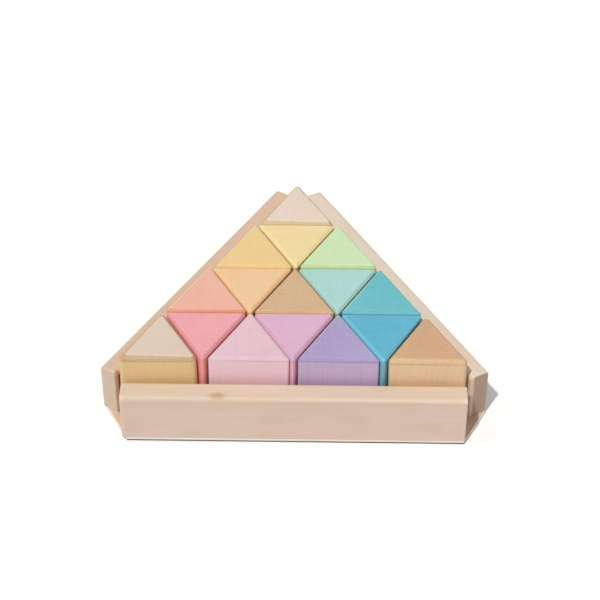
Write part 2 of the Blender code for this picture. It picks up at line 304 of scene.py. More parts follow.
class Tree:
    """Adds nodes to a node tree, so that a tree reads as a list of steps."""

    def __init__(self, tree):
        self.tree = tree

    def feed(self, socket, value):
        if isinstance(value, bpy.types.NodeSocket):
            self.tree.links.new(value, socket)
        else:
            socket.default_value = value

    def add(self, kind, inputs=None, **settings):
        """New node with its settings, and its inputs by name or number, as values or sockets."""
        node = self.tree.nodes.new(kind)
        for name, value in settings.items():
            setattr(node, name, value)
        for name, value in (inputs or {}).items():
            self.feed(node.inputs[name], value)
        return node

    def math(self, operation, *values):
        node = self.add("ShaderNodeMath", dict(enumerate(values)), operation=operation)
        return node.outputs[0]

    def vector(self, operation, *values):
        node = self.add("ShaderNodeVectorMath", dict(enumerate(values)), operation=operation)
        return node.outputs["Value" if operation in ("DOT_PRODUCT", "LENGTH") else "Vector"]

    def scaled(self, vector, factor):
        return self.add("ShaderNodeVectorMath", {0: vector, "Scale": factor}, operation="SCALE").outputs[0]

    def ramp(self, value, low, high):
        """0 below low, 1 above high, and a smooth step between."""
        node = self.add("ShaderNodeMapRange", {"Value": value, "From Min": low, "From Max": high},
                        interpolation_type="SMOOTHSTEP")
        return node.outputs["Result"]

    def fall(self, value, low, high):
        """1 below low, 0 above high, and a smooth step between."""
        return self.math("SUBTRACT", 1.0, self.ramp(value, low, high))

    def mix(self, factor, first, second, clamp=True):
        """First colour at 0, second at 1."""
        node = self.add("ShaderNodeMix", {0: factor, 6: first, 7: second}, data_type="RGBA",
                        clamp_factor=clamp)
        return node.outputs[2]

    def noise(self, vector, seed, detail=2.0, roughness=0.5):
        return self.add("ShaderNodeTexNoise", {"Vector": vector, "W": seed, "Scale": 1.0, "Detail": detail,
                        "Roughness": roughness}, noise_dimensions="4D")

    def group(self, tree, inputs):
        node = self.add("ShaderNodeGroup", node_tree=tree)
        for name, value in inputs.items():
            self.feed(node.inputs[name], value)
        return node


def new_group(name, kind, inputs, outputs):
    """Empty node group with named sockets, given as name and type, and its input and output nodes."""
    group = bpy.data.node_groups.new(name, kind)
    for socket, socket_type in inputs:
        group.interface.new_socket(socket, in_out="INPUT", socket_type=socket_type)
    for socket, socket_type in outputs:
        group.interface.new_socket(socket, in_out="OUTPUT", socket_type=socket_type)
    tree = Tree(group)
    return tree, tree.add("NodeGroupInput").outputs, tree.add("NodeGroupOutput").inputs


def once(make):
    """Keeps what a function makes, so that a shared group is built a single time."""
    made = []

    def get():
        if not made:
            made.append(make())
        return made[0]

    return get


FLOAT, VECTOR, COLOUR = "NodeSocketFloat", "NodeSocketVector", "NodeSocketColor"
WHOLE, MATERIAL, GEOMETRY = "NodeSocketInt", "NodeSocketMaterial", "NodeSocketGeometry"

# Waves per metre of the wood's figure: across the grain, both ways, and along it
WANDER_WAVES = (45.0, 45.0, 5.0)
FIBRE_WAVES = (900.0, 900.0, 20.0)
STREAK_WAVES = (210.0, 210.0, 5.0)
FLECK_WAVES = (1900.0, 1900.0, 300.0)
CLOUD_WAVES = (24.0, 24.0, 7.0)
PATCH_WAVES = (70.0, 70.0, 26.0)
KNOT_WAVES = (300.0, 600.0, 600.0)  # along X first, as the front rail's grain is

# Values of the noise at which fibres, flecks, clouds and patches begin and are full
FIBRE_NOISE = (0.85, 1.55)
FLECK_NOISE = (0.60, 0.72)
CLOUD_NOISE = (0.25, 0.75)
PATCH_NOISE = (0.42, 0.72)
STREAK_SHARE = 1.4  # weight of the broader streaks among the fibres
KNOT_SEED = 9.0
KNOT_DRIFT = 0.9  # how ragged the knot is, as a share of its half size
KNOT_REACH = (0.2, 1.1)  # shares of its half size over which it fades out

# Shares of a rim's width, in from a face, over which a mask falls from 1 to 0
EDGE_REACH = (0.3, 0.95)
END_REACH = (0.02, 0.16)
BAND_REACH = (0.75, 1.25)
TOP_REACH = (0.6, 1.2)
NEAR_REACH = (0.6, 1.0)

GROWTH_PACE = 0.23  # swings of the ring spacing for each ring
GROWTH_SWING = 2.4  # rings that one swing is worth
LATE_WOOD = (0.25, 0.93)  # shares of a year in which its dark wood comes in
YEAR_END = (0.94, 1.0)  # and in which it goes out again
FAINTEST_YEAR = 0.3  # strength of the palest ring

DEEP_GAMMA = 1.75  # makes the deep colour of rings and pores from the wood's own
FIBRE_DEPTH = 0.12  # share of the deep colour in fibres, clouds and flecks
FIBRE_LIFT = -0.015  # and between the fibres
CLOUD_DEPTH = 0.16
FLECK_DEPTH = 0.08
PATCH_DEPTH = 0.32  # share of the patch colour in the heart of a patch
KNOT_DEPTH = 0.5  # share of the knot colour in the heart of the knot
PLAIN_WEAR = 0.4  # share of the wear where there are no clouds
ROUGHNESS = 0.50
FIBRE_ROUGHNESS = 0.14
WORN_ROUGHNESS = -0.25  # worn edges are smoother
FIBRE_RELIEF = 0.5  # heights in the bump
RING_RELIEF = 0.3
FLECK_RELIEF = -0.6
RELIEF_DEPTH = 0.0002
RELIEF_STRENGTH = 0.35
WOOD_SHEEN = 0.3


@once
def timber_figure():
    """Solid wood that grows along Z round its own axis: rings, fibres, short flecks and broad clouds."""
    tree, given, out = new_group(
        "Timber figure", "ShaderNodeTree",
        [("Vector", VECTOR), ("Ring Spacing", FLOAT), ("Ring Wobble", FLOAT), ("Seed", FLOAT)],
        [("Rings", FLOAT), ("Fibres", FLOAT), ("Flecks", FLOAT), ("Clouds", FLOAT)])
    place, seed = given["Vector"], given["Seed"]

    wander = tree.noise(tree.vector("MULTIPLY", place, WANDER_WAVES), seed)
    sway = tree.vector("SUBTRACT", wander.outputs["Color"], (0.5, 0.5, 0.5))
    swayed = tree.vector("ADD", place, tree.scaled(sway, given["Ring Wobble"]))
    radius = tree.vector("LENGTH", tree.vector("MULTIPLY", swayed, (1.0, 1.0, 0.0)))
    count = tree.math("DIVIDE", radius, given["Ring Spacing"])
    pace = tree.math("MULTIPLY_ADD", count, GROWTH_PACE, seed)
    slow = tree.add("ShaderNodeTexNoise", {"W": pace, "Scale": 1.0}, noise_dimensions="1D")
    uneven = tree.math("MULTIPLY_ADD", slow.outputs[0], GROWTH_SWING, count)
    through = tree.math("FRACT", uneven)
    year = tree.add("ShaderNodeTexWhiteNoise", {"W": tree.math("FLOOR", uneven)}, noise_dimensions="1D")
    late = tree.math("SUBTRACT", tree.ramp(through, *LATE_WOOD), tree.ramp(through, *YEAR_END))
    strength = tree.math("MULTIPLY_ADD", year.outputs["Value"], 1.0 - FAINTEST_YEAR, FAINTEST_YEAR)
    tree.feed(out["Rings"], tree.math("MULTIPLY", late, strength))

    fine = tree.noise(tree.vector("MULTIPLY", place, FIBRE_WAVES), seed, 4.0, 0.62)
    streaks = tree.noise(tree.vector("MULTIPLY", place, STREAK_WAVES), seed, 3.0, 0.7)
    mingled = tree.math("MULTIPLY_ADD", streaks.outputs[0], STREAK_SHARE, fine.outputs[0])
    tree.feed(out["Fibres"], tree.ramp(mingled, *FIBRE_NOISE))
    short = tree.noise(tree.vector("MULTIPLY", place, FLECK_WAVES), seed, 1.0)
    tree.feed(out["Flecks"], tree.ramp(short.outputs[0], *FLECK_NOISE))
    broad = tree.noise(tree.vector("MULTIPLY", place, CLOUD_WAVES), seed, 2.0)
    tree.feed(out["Clouds"], tree.ramp(broad.outputs[0], *CLOUD_NOISE))
    return tree.tree


@once
def wood_surface():
    """Colour, roughness and height of wood from its figure. The deep colour lies in rings and pores."""
    tree, given, out = new_group(
        "Wood surface", "ShaderNodeTree",
        [("Colour", COLOUR), ("Worn Colour", COLOUR), ("Rings", FLOAT), ("Fibres", FLOAT), ("Flecks", FLOAT),
         ("Clouds", FLOAT), ("Edge", FLOAT), ("Ring Strength", FLOAT), ("Wear", FLOAT)],
        [("Colour", COLOUR), ("Roughness", FLOAT), ("Height", FLOAT)])
    deep = tree.add("ShaderNodeGamma", {"Color": given["Colour"], "Gamma": DEEP_GAMMA}).outputs[0]
    rings = tree.math("MULTIPLY", given["Rings"], given["Ring Strength"])
    fibres = tree.math("MULTIPLY_ADD", given["Fibres"], FIBRE_DEPTH, FIBRE_LIFT)
    clouds = tree.math("MULTIPLY_ADD", given["Clouds"], CLOUD_DEPTH, -CLOUD_DEPTH / 2)
    flecks = tree.math("MULTIPLY", given["Flecks"], FLECK_DEPTH)
    depth = tree.math("ADD", tree.math("ADD", rings, fibres), tree.math("ADD", clouds, flecks))
    plain = tree.mix(depth, given["Colour"], deep, clamp=False)
    patchy = tree.math("MULTIPLY_ADD", given["Clouds"], 1.0 - PLAIN_WEAR, PLAIN_WEAR)
    worn = tree.math("MULTIPLY", tree.math("MULTIPLY", given["Edge"], given["Wear"]), patchy)
    tree.feed(out["Colour"], tree.mix(worn, plain, given["Worn Colour"]))
    rough = tree.math("MULTIPLY_ADD", given["Fibres"], FIBRE_ROUGHNESS, ROUGHNESS)
    tree.feed(out["Roughness"], tree.math("MULTIPLY_ADD", worn, WORN_ROUGHNESS, rough))
    ring_ridges = tree.math("MULTIPLY", given["Rings"], RING_RELIEF)
    ridges = tree.math("MULTIPLY_ADD", given["Fibres"], FIBRE_RELIEF, ring_ridges)
    tree.feed(out["Height"], tree.math("MULTIPLY_ADD", given["Flecks"], FLECK_RELIEF, ridges))
    return tree.tree


def smallest(tree, values):
    """Smallest of several sockets."""
    least = values[0]
    for value in values[1:]:
        least = tree.math("MINIMUM", least, value)
    return least


def edge_masks(tree, given, out, walls, ends):
    """Edge is 1 where two faces are near, from the depths below each face. End is 1 on the end faces
    alone, and Band is 1 there and on the rounded rims round them."""
    faces = walls + [ends]
    pairs = []
    for index, first in enumerate(faces):
        for second in faces[index + 1:]:
            pairs.append(tree.math("MAXIMUM", first, second))
    width = given["Width"]
    near = tree.math("DIVIDE", smallest(tree, pairs), width)
    tree.feed(out["Edge"], tree.fall(near, *EDGE_REACH))
    share = tree.math("DIVIDE", ends, width)
    tree.feed(out["End"], tree.fall(share, *END_REACH))
    tree.feed(out["Band"], tree.fall(share, *BAND_REACH))


@once
def prism_faces():
    """Masks of a triangular block's edges and ends, in its own place: foot on z = 0, a corner at +Y."""
    tree, given, out = new_group(
        "Prism faces", "ShaderNodeTree",
        [("Vector", VECTOR), ("Flat Reach", FLOAT), ("Height", FLOAT), ("Width", FLOAT)],
        [("Edge", FLOAT), ("End", FLOAT), ("Band", FLOAT)])
    walls = []
    for angle in (-90, 30, 150):
        normal = (math.cos(math.radians(angle)), math.sin(math.radians(angle)), 0.0)
        out_by = tree.vector("DOT_PRODUCT", given["Vector"], normal)
        walls.append(tree.math("SUBTRACT", given["Flat Reach"], out_by))
    height = tree.vector("DOT_PRODUCT", given["Vector"], (0.0, 0.0, 1.0))
    ends = tree.math("MINIMUM", height, tree.math("SUBTRACT", given["Height"], height))
    edge_masks(tree, given, out, walls, ends)
    return tree.tree


@once
def bar_faces():
    """Masks of a bar's edges, ends, top and near side, in its own place: centred, length along Z, top at
    -X, near side at -Y."""
    tree, given, out = new_group(
        "Bar faces", "ShaderNodeTree",
        [("Vector", VECTOR), ("Half Size", VECTOR), ("Width", FLOAT)],
        [("Edge", FLOAT), ("End", FLOAT), ("Band", FLOAT), ("Top", FLOAT), ("Near", FLOAT)])
    depth = tree.vector("SUBTRACT", given["Half Size"], tree.vector("ABSOLUTE", given["Vector"]))
    parts = tree.add("ShaderNodeSeparateXYZ", {0: depth}).outputs
    edge_masks(tree, given, out, [parts["X"], parts["Y"]], parts["Z"])
    inside = tree.vector("ADD", given["Half Size"], given["Vector"])
    counted = tree.scaled(inside, tree.math("DIVIDE", 1.0, given["Width"]))
    shares = tree.add("ShaderNodeSeparateXYZ", {0: counted}).outputs
    tree.feed(out["Top"], tree.fall(shares["X"], *TOP_REACH))
    tree.feed(out["Near"], tree.fall(shares["Y"], *NEAR_REACH))
    return tree.tree


# Materials

BARE_WOOD_AND_RIM_HIGHLIGHT = (244, 232, 214)  # shows through where the stain of an edge is worn, and is mixed into the painted highlight on stained blocks' back-facing rims
STAIN_LEFT = 0.5  # share of the stain that a worn edge keeps, and that the painted highlight on back-facing rims keeps
BACK_RIM_HIGHLIGHT_FACING = (0.0, 0.2)  # backward part of the normal where the painted highlight on a stained block's rims begins, and is full: it lifts the shade on rims facing away from the light
GRAIN_LEAN = math.radians(2.5)  # most that a block's grain leans, about X and about Y
WORN_RAIL = (244, 228, 208)  # colour of the rails' worn edges
RAIL_PITH = Vector((0.0, 0.035, -0.06))  # middle of the tree, from the middle of a rail that lies along X
RAIL_RINGS = (0.009, 0.05)  # how far a rail's rings wander, and how strongly they show
RAIL_SEED = 40.0  # noise seeds past those of the blocks
WORN_BOARD = (240, 224, 204)  # and of the board's
BOARD_PITH = (0.0, 0.02, -0.14)  # middle of the tree, from the origin
BOARD_RINGS = (0.006, 0.10)
BOARD_SEED = 50.0
BOARD_EDGE_SLOPE = (0.9, 0.99)  # upward part of the normal where the board's edge ends and its flat begins
SHADE_FREE_FACING = (0.3, 0.6)  # leftward part of the normal where the painted shade begins to fade, and is gone: edges facing the light get none
ALONG_X = (0.0, math.pi / 2, 0.0)  # turn of a timber that grows along X


def new_material(name):
    """Material with a bare Principled shader, and its tree and shader."""
    material = bpy.data.materials.new(name)
    material.use_nodes = True
    tree = Tree(material.node_tree)
    shader = material.node_tree.nodes["Principled BSDF"]
    return material, tree, shader


def mapped(tree, location, rotation=(0.0, 0.0, 0.0)):
    """Object coordinates seen from a place and turn of their own."""
    place = tree.add("ShaderNodeTexCoord").outputs["Object"]
    node = tree.add("ShaderNodeMapping", {"Vector": place, "Location": location, "Rotation": rotation},
                    vector_type="TEXTURE")
    return node.outputs[0]


def dress_wood(tree, shader, figure, faces, colour, worn_colour, ring_strength, wear):
    """Feeds a shader from a timber figure, face masks and colours."""
    inputs = {"Colour": colour, "Worn Colour": worn_colour, "Ring Strength": ring_strength, "Wear": wear,
              "Edge": faces.outputs["Edge"]}
    for name in ("Rings", "Fibres", "Flecks", "Clouds"):
        inputs[name] = figure.outputs[name]
    surface = tree.group(wood_surface(), inputs).outputs
    tree.feed(shader.inputs["Base Color"], surface["Colour"])
    tree.feed(shader.inputs["Roughness"], surface["Roughness"])
    bump = tree.add("ShaderNodeBump", {
        "Strength": RELIEF_STRENGTH, "Distance": RELIEF_DEPTH, "Height": surface["Height"]})
    tree.feed(shader.inputs["Normal"], bump.outputs[0])
    shader.inputs["Specular IOR Level"].default_value = WOOD_SHEEN


def block_material(name, settings, ends, rims, sides):
    """Stained or bare block: end grain on top, long grain down its sides. On stained blocks, rims that face
    back get a painted highlight, a paler colour that lifts the shade on them.
    """
    finish = FINISHES[name]
    seed = float(list(FINISHES).index(name))
    material, tree, shader = new_material(f"{name}_wood")
    corners, middle = top_corners(f"block_{name}")
    foot = Vector((middle.x, middle.y, BLOCK_LOW.z))
    first = corners[0] - middle
    turn = math.atan2(first.y, first.x) - math.pi / 2
    towards = math.radians(finish.pith_angle)
    pith = foot + finish.pith_distance * Vector((math.cos(towards), math.sin(towards), 0.0))
    lean = Euler((GRAIN_LEAN * math.sin(3 * seed), GRAIN_LEAN * math.cos(5 * seed), 0.0))
    figure = tree.group(timber_figure(), {
        "Vector": mapped(tree, pith, lean), "Ring Spacing": finish.ring_spacing,
        "Ring Wobble": settings.wobble, "Seed": seed})
    faces = tree.group(prism_faces(), {
        "Vector": mapped(tree, foot, (0.0, 0.0, turn)), "Flat Reach": BLOCK_FLAT_REACH,
        "Height": BLOCK_HEIGHT, "Width": block_edges(f"block_{name}")[1]})
    # Worn stain colour: used for the wear, and also as the painted highlight on back-facing rims
    worn = [STAIN_LEFT * part + (1 - STAIN_LEFT) * bare for part, bare in zip(ends, BARE_WOOD_AND_RIM_HIGHLIGHT)]
    rim = rgba(rims)
    if not name.startswith("natural"):
        # Painted highlight: rims facing back, away from the light, are mixed towards the paler worn colour to
        # lift their shade
        normal = tree.add("ShaderNodeNewGeometry").outputs["Normal"]
        back_rim_highlight = tree.ramp(tree.vector("DOT_PRODUCT", normal, (0.0, 1.0, 0.0)), *BACK_RIM_HIGHLIGHT_FACING)
        rim = tree.mix(back_rim_highlight, rim, rgba(worn))
    outside = tree.mix(faces.outputs["Band"], rgba(sides), rim)
    colour = tree.mix(faces.outputs["End"], outside, rgba(ends))
    dress_wood(tree, shader, figure, faces, colour, rgba(worn), finish.ring_strength, settings.wear)
    return material


def patched(tree, place, seed, colour, patch_colour):
    """A colour with long patches of another in it."""
    patches = tree.noise(tree.vector("MULTIPLY", place, PATCH_WAVES), seed, 3.0)
    share = tree.math("MULTIPLY", tree.ramp(patches.outputs[0], *PATCH_NOISE), PATCH_DEPTH)
    return tree.mix(share, colour, patch_colour)


def knot_mask(tree, place, size):
    """1 in the heart of a knot that fades out raggedly at its half size, in object coordinates."""
    centred = mapped(tree, place)
    ragged = tree.noise(tree.vector("MULTIPLY", centred, KNOT_WAVES), KNOT_SEED, 2.0)
    drift = tree.scaled(tree.vector("SUBTRACT", ragged.outputs["Color"], (0.5, 0.5, 0.5)), KNOT_DRIFT)
    distance = tree.vector("LENGTH", tree.vector("ADD", tree.vector("DIVIDE", centred, size), drift))
    return tree.fall(distance, *KNOT_REACH)


def rail_material(name, settings, colours):
    """Bare rail with its grain along its length, patches in it, a knot where it is the front rail, and
    painted light on the upright inner edges of its ends: shade on the left rail, a highlight on the right.
    """
    seed = RAIL_SEED + RAILS.index(name)
    wobble, ring_strength = RAIL_RINGS
    material, tree, shader = new_material(f"{name}_wood")
    middle, turn, size = bar_place(name)
    along = (0.0, math.pi / 2, turn)
    pith = middle + Matrix.Rotation(turn, 3, "Z") @ RAIL_PITH
    timber = mapped(tree, pith, along)
    figure = tree.group(timber_figure(), {
        "Vector": timber, "Ring Spacing": settings.ring_spacing, "Ring Wobble": wobble, "Seed": seed})
    faces = tree.group(bar_faces(), {
        "Vector": mapped(tree, middle, along), "Width": RAIL_EDGE,
        "Half Size": (size.z / 2, size.y / 2, size.x / 2)})
    faced, topped, end_grain, edge_light_colour = (rgba(colour) for colour in colours)
    long_grain = tree.mix(faces.outputs["Top"], faced, topped)
    colour = patched(tree, timber, seed, long_grain, rgba(shown(settings.patch_colour)))
    if name == "front_rail":
        knot = tree.math("MULTIPLY", knot_mask(tree, KNOT_PLACE, KNOT_SIZE), KNOT_DEPTH)
        colour = tree.mix(knot, colour, rgba(shown(settings.knot_colour)))
    colour = tree.mix(faces.outputs["End"], colour, end_grain)
    # Painted light on the inner upright edges of the rail's ends: shade on the left rail, a highlight on the
    # right
    edge_light_share = tree.math("MULTIPLY", faces.outputs["Near"], faces.outputs["Band"])
    colour = tree.mix(edge_light_share, colour, edge_light_colour)
    dress_wood(tree, shader, figure, faces, colour, rgba(WORN_RAIL), ring_strength, settings.wear)
    return material


def board_material(settings):
    """Bare board with its grain along X, a painted highlight on its upright edges, and painted shade along
    the foot of its front edge and round to the right.
    """
    material, tree, shader = new_material("board_wood")
    wobble, ring_strength = BOARD_RINGS
    timber = mapped(tree, BOARD_PITH, ALONG_X)
    figure = tree.group(timber_figure(), {
        "Vector": timber, "Ring Spacing": settings.ring_spacing, "Ring Wobble": wobble, "Seed": BOARD_SEED})
    low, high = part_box("base_board")
    size = high - low
    faces = tree.group(bar_faces(), {
        "Vector": mapped(tree, (low + high) / 2, ALONG_X), "Width": BOARD_EDGE,
        "Half Size": (size.z / 2, size.y / 2, size.x / 2)})
    flat, edge_highlight, patch, foot_shade = (rgba(shown(setting)) for setting in (
        settings.board_colour, settings.board_edge_highlight, settings.patch_colour, settings.foot_shade_colour))
    colour = patched(tree, timber, BOARD_SEED, flat, patch)
    # Painted highlight: the board's upright edges are painted paler than its flats
    normal = tree.add("ShaderNodeNewGeometry").outputs["Normal"]
    steep = tree.vector("DOT_PRODUCT", normal, (0.0, 0.0, 1.0))
    edge = tree.fall(tree.math("ABSOLUTE", steep), *BOARD_EDGE_SLOPE)
    colour = tree.mix(edge, colour, edge_highlight)
    place = tree.add("ShaderNodeTexCoord").outputs["Object"]
    # Painted shade along the foot of the board's upright edges, fading round the right corner and gone where
    # they face left, towards the light
    height = tree.vector("DOT_PRODUCT", place, (0.0, 0.0, 1.0))
    foot = tree.fall(height, FOOT_SHADE_FADE * FOOT_SHADE_HEIGHT, FOOT_SHADE_HEIGHT)
    behind = tree.ramp(tree.vector("DOT_PRODUCT", place, (0.0, 1.0, 0.0)), low.y, low.y + FOOT_SHADE_REACH)
    leftward = tree.ramp(tree.vector("DOT_PRODUCT", normal, (-1.0, 0.0, 0.0)), *SHADE_FREE_FACING)
    unshaded = tree.math("MAXIMUM", behind, leftward)
    painted_foot_shade = tree.math("MULTIPLY", tree.math("MULTIPLY", foot, edge), tree.math("SUBTRACT", 1.0, unshaded))
    colour = tree.mix(painted_foot_shade, colour, foot_shade)
    dress_wood(tree, shader, figure, faces, colour, rgba(WORN_BOARD), ring_strength, settings.wear)
    return material


STEEL_DULL, STEEL_BRIGHT = (168, 168, 174), (208, 208, 206)
STEEL_ROUGHNESS = (0.22, 0.25)  # where the steel is dull, and how much rougher where it is bright
MOTTLE_WAVES = (900.0, 900.0, 900.0)
TURNING_WAVES = (60.0, 60.0, 9000.0)  # marks run round the screw, so they lie close along it
TURNING_DEPTH = 0.00005
TURNING_STRENGTH = 0.3


def steel_material():
    """Zinc-plated steel with turning marks and a mottled sheen."""
    material, tree, shader = new_material("screw_zinc")
    place = tree.add("ShaderNodeTexCoord").outputs["Object"]
    mottle = tree.noise(tree.vector("MULTIPLY", place, MOTTLE_WAVES), 3.0, 3.0)
    rings = tree.noise(tree.vector("MULTIPLY", place, TURNING_WAVES), 5.0, 2.0)
    tone = tree.mix(mottle.outputs[0], rgba(STEEL_DULL), rgba(STEEL_BRIGHT))
    tree.feed(shader.inputs["Base Color"], tone)
    least, more = STEEL_ROUGHNESS
    tree.feed(shader.inputs["Roughness"], tree.math("MULTIPLY_ADD", mottle.outputs[0], more, least))
    bump = tree.add("ShaderNodeBump", {
        "Strength": TURNING_STRENGTH, "Distance": TURNING_DEPTH, "Height": rings.outputs[0]})
    tree.feed(shader.inputs["Normal"], bump.outputs[0])
    shader.inputs["Metallic"].default_value = 1.0
    return material


# Meshes


INWARD = "inward"  # from a sharp corner to the middle of a ball that rounds it, for a radius of 1
HEIGHTS = "heights"  # a ball's height for its width, near 0 for a disc that leaves a sharp foot
DISC = 0.02  # height of such a disc for its width


@once
def eased_solid():
    """Geometry Nodes tree: a ball in each sharp corner, and one hull round all the balls."""
    tree, given, out = new_group(
        "Eased solid", "GeometryNodeTree",
        [("Corners", GEOMETRY), ("Edge Radius", FLOAT), ("Sanding", FLOAT), ("Segments", WHOLE),
         ("Seed", WHOLE), ("Wood", MATERIAL)],
        [("Solid", GEOMETRY)])
    least = tree.math("SUBTRACT", 1.0, given["Sanding"])
    most = tree.math("ADD", 1.0, given["Sanding"])
    share = tree.add("FunctionNodeRandomValue", {"Seed": given["Seed"]}, data_type="FLOAT")
    tree.feed(share.inputs[2], least)
    tree.feed(share.inputs[3], most)
    radius = tree.math("MULTIPLY", share.outputs[1], given["Edge Radius"])
    inward = tree.add("GeometryNodeInputNamedAttribute", {"Name": INWARD}, data_type="FLOAT_VECTOR")
    centres = tree.add("GeometryNodeSetPosition", {
        "Geometry": given["Corners"], "Offset": tree.scaled(inward.outputs["Attribute"], radius)})
    height = tree.add("GeometryNodeInputNamedAttribute", {"Name": HEIGHTS}, data_type="FLOAT")
    size = tree.add("ShaderNodeCombineXYZ", {"X": radius, "Y": radius, "Z": tree.math(
        "MULTIPLY", radius, height.outputs["Attribute"])})
    rings = tree.math("DIVIDE", given["Segments"], 2.0)
    ball = tree.add("GeometryNodeMeshUVSphere", {
        "Segments": given["Segments"], "Rings": rings, "Radius": 1.0})
    balls = tree.add("GeometryNodeInstanceOnPoints", {
        "Points": centres.outputs[0], "Instance": ball.outputs["Mesh"], "Scale": size.outputs[0]})
    whole = tree.add("GeometryNodeRealizeInstances", {0: balls.outputs[0]})
    hull = tree.add("GeometryNodeConvexHull", {0: whole.outputs[0]})
    smooth = tree.add("GeometryNodeSetShadeSmooth", {0: hull.outputs[0]})
    dressed = tree.add("GeometryNodeSetMaterial", {"Geometry": smooth.outputs[0], "Material": given["Wood"]})
    tree.feed(out["Solid"], dressed.outputs[0])
    return tree.tree


def set_inputs(modifier, values):
    """Sets a Geometry Nodes modifier's inputs by name, through their identifiers."""
    for item in modifier.node_group.interface.items_tree:
        if item.in_out == "INPUT" and item.name in values:
            modifier[item.identifier] = values[item.name]


def corner_mesh(name, corners):
    """Loose points at sharp corners, each with the way inward to its ball and the ball's height."""
    mesh = bpy.data.meshes.new(name)
    mesh.from_pydata([place for place, _, _ in corners], [], [])
    mesh.attributes.new(INWARD, "FLOAT_VECTOR", "POINT")
    mesh.attributes.new(HEIGHTS, "FLOAT", "POINT")
    for index, (_, way, height) in enumerate(corners):
        mesh.attributes[INWARD].data[index].vector = way
        mesh.attributes[HEIGHTS].data[index].value = height
    return mesh


def add_eased_piece(name, corners, edge, settings, seed, wood):
    """Finished piece at the origin: sharp corners, rounded by the tree and turned into a plain mesh."""
    maker = bpy.data.objects.new(f"{name}_corners", corner_mesh(f"{name}_corners", corners))
    bpy.context.scene.collection.objects.link(maker)
    modifier = maker.modifiers.new("ease", "NODES")
    modifier.node_group = eased_solid()
    set_inputs(modifier, {"Edge Radius": edge * settings.rounding, "Sanding": settings.sanding,
                          "Segments": settings.segments, "Seed": seed, "Wood": wood})
    weighted = maker.modifiers.new("flat_faces", "WEIGHTED_NORMAL")
    weighted.mode = "FACE_AREA"
    weighted.weight = 100
    graph = bpy.context.evaluated_depsgraph_get()
    mesh = bpy.data.meshes.new_from_object(maker.evaluated_get(graph))
    bpy.data.objects.remove(maker)
    if not mesh.polygons:
        raise RuntimeError(f"{name} came out with no faces")
    mesh.name = name
    piece = bpy.data.objects.new(name, mesh)
    bpy.context.scene.collection.objects.link(piece)
    return piece


def block_corners(node):
    """Sharp corners of a block with bevelled ends: at each end three on the flat and three on the sides."""
    top, middle = top_corners(node)
    rounding, rim = block_edges(node)
    bevel = rim - rounding
    corners = []
    for point in top:
        outward = (point - middle).normalized()
        for height, inside in ((BLOCK_LOW.z, 1.0), (BLOCK_HIGH.z, -1.0)):
            for inset, from_end in ((2 * bevel, 0.0), (0.0, bevel)):
                place = middle + (2 * BLOCK_FLAT_REACH - inset) * outward
                place.z = height + inside * from_end
                corners.append((place, Vector((0.0, 0.0, inside)) - 2 * outward, 1.0))
    return corners


def bar_place(node):
    """Middle of a rail, the turn of its length from +X, and its length, thickness and height."""
    top, middle = top_corners(node)
    longest = max((point - top[0] for point in top), key=lambda way: way.length)
    side = min((point - top[0] for point in top[1:]), key=lambda way: way.length)
    along = longest - side
    if along.x < 0:
        along = -along
    low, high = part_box(node)
    size = Vector((along.length + 2 * RAIL_END, side.length + 2 * RAIL_EDGE, high.z - low.z))
    return Vector((middle.x, middle.y, (low.z + high.z) / 2)), math.atan2(along.y, along.x), size


def rail_corners(node):
    """Sharp corners of a rail: one at each corner of its sharp foot, and an arc of them at each end of the
    long edges of its top, which are rounder than its ends."""
    middle, turn, size = bar_place(node)
    turned = Matrix.Rotation(turn, 3, "Z")
    corners = []
    for along in (-1, 1):
        for across in (-1, 1):
            low = Vector((along, across, -1)) * size / 2
            corners.append((middle + turned @ low, turned @ Vector((-along, -across, DISC)), DISC))
            high = Vector((along, across, 1)) * size / 2
            inward = Vector((-along, -across, -1))
            for step in range(RAIL_ARC_STEPS + 1):
                angle = math.pi / 2 * step / RAIL_ARC_STEPS
                drop = Vector((0.0, across * (math.cos(angle) - 1), math.sin(angle) - 1))
                place = high + (RAIL_EDGE - RAIL_END) * drop
                corners.append((middle + turned @ place, turned @ inward, 1.0))
    return corners


# Operators


class TRAY_OT_add_blocks(bpy.types.Operator):
    """Makes the blocks with eased edges and their own stain and grain"""

    bl_idname = "block_tray.add_blocks"
    bl_label = "Add blocks"

    def execute(self, context):
        scene = context.scene
        for number, name in enumerate(FINISHES):
            groups = (scene.tray_end_colours, scene.tray_rim_colours, scene.tray_side_colours)
            ends, rims, sides = (shown(getattr(group, name)) for group in groups)
            wood = block_material(name, scene.tray_blocks, ends, rims, sides)
            node = f"block_{name}"
            corners = block_corners(node)
            edge = block_edges(node)[0]
            piece = add_eased_piece(f"{name}_block", corners, edge, scene.tray_blocks, number, wood)
            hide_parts(node)
            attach(piece, name)
        return {"FINISHED"}


class TRAY_OT_add_rails(bpy.types.Operator):
    """Makes the three rails with eased edges and grain along their length"""

    bl_idname = "block_tray.add_rails"
    bl_label = "Add rails"

    def execute(self, context):
        scene = context.scene
        settings = scene.tray_tray
        groups = (scene.tray_rail_faces, scene.tray_rail_tops, scene.tray_rail_ends, scene.tray_rail_edges)
        for number, name in enumerate(RAILS):
            wood = rail_material(name, settings, [shown(getattr(group, name)) for group in groups])
            piece = add_eased_piece(f"{name}_bar", rail_corners(name), RAIL_END, settings, number, wood)
            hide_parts(name)
            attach(piece, "tray")
        return {"FINISHED"}


class TRAY_OT_finish_board(bpy.types.Operator):
    """Gives the board its wood"""

    bl_idname = "block_tray.finish_board"
    bl_label = "Finish board"

    def execute(self, context):
        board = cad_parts["base_board"]
        board.data.materials.clear()
        board.data.materials.append(board_material(context.scene.tray_tray))
        return {"FINISHED"}


